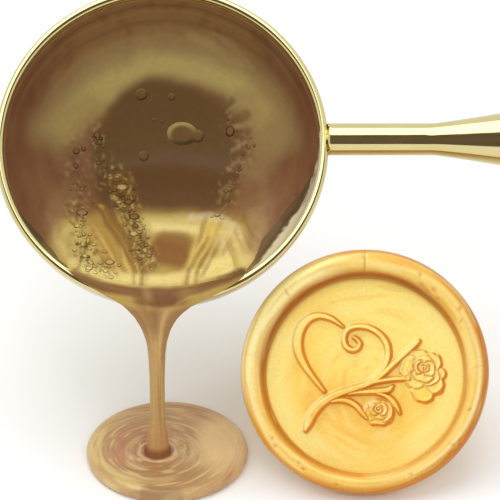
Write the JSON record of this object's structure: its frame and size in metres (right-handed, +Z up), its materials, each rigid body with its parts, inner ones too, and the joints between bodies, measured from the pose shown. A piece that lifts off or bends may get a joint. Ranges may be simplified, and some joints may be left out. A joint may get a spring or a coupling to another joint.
{
  "type": "sealing wax pour with melting spoon and stamped seal",
  "caption": "Gold sealing wax running over the lip of a tilted melting spoon into a round puddle, with a finished round wax seal with a raised heart and roses beside it.",
  "frame": {"origin": "centre of the poured wax's underside, on the table", "axes": "+X along the spoon's handle away from the bowl, -Y the way the spoon pours, +Z up"},
  "size_m": [0.1368, 0.0463, 0.0503],
  "materials": {
    "gold_plate": "mirror-polished pale gold plating",
    "stud_steel": "plain turned steel",
    "beech": "turned and oiled beech",
    "molten_wax": "molten wax with gold pearl pigment, wet gloss",
    "poured_wax": "freshly poured wax with gold pearl streaks",
    "pearl_wax": "set wax with gold pearl pigment, satin gloss"
  },
  "bodies": {
    "poured_wax": {"wax_puddle": "poured_wax", "wax_stream": "molten_wax"},
    "spoon": {"spoon_bowl": "gold_plate", "spoon_neck": "gold_plate", "handle_stud": "stud_steel", "handle_grip": "beech", "wax_pool": "molten_wax", "wax_overflow": "molten_wax"},
    "stamped_seal": {"wax_seal": "pearl_wax"}
  },
  "joints": [
    {"name": "pour_roll", "type": "hinge", "parent": "poured_wax", "child": "spoon", "pos_m": [-0.0006, 0.01745, 0.03697], "axis": [1, 0, 0], "range_deg": [-39.3, 40], "deforming": ["wax_stream"]},
    {"name": "seal_pick", "type": "slide", "parent": "poured_wax", "child": "stamped_seal", "axis": [0, -0.8141, 0.5807], "range_m": [0, 0.05]}
  ]
}
